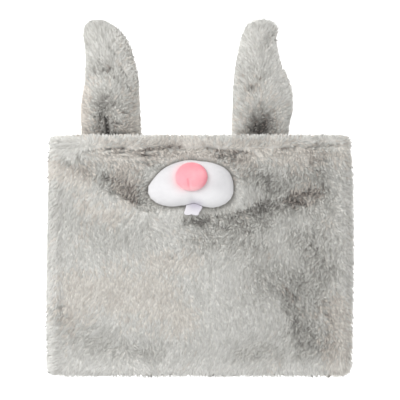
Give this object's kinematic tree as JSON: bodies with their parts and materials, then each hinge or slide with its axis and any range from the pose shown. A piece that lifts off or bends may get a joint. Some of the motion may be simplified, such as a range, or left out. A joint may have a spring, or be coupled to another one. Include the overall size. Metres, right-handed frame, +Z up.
{
  "type": "rabbit hood scarf",
  "caption": "Plush tube scarf that pulls over the head as a hood, laid flat, with rabbit ears, a padded white muzzle, a pink nose and a felt teeth tab.",
  "frame": {"origin": "on the surface that the scarf lies on, under the middle of its bounding box", "axes": "+Z up out of the front panel, where the muzzle is; +Y from the bottom hem to the ear tips; +X towards the side that is on the right when the face is looked at"},
  "size_m": [0.32, 0.374, 0.0469],
  "materials": {
    "grey_fur": "light warm grey faux fur with a short soft pile",
    "white_plush": "smooth white short-pile plush",
    "pink_plush": "smooth pink short-pile plush",
    "white_felt": "white felt"
  },
  "bodies": {
    "root": {"front_panel": "grey_fur", "back_panel": "grey_fur", "left_ear": "grey_fur", "right_ear": "grey_fur", "muzzle": "white_plush", "nose": "pink_plush", "teeth": "white_felt"}
  },
  "joints": []
}
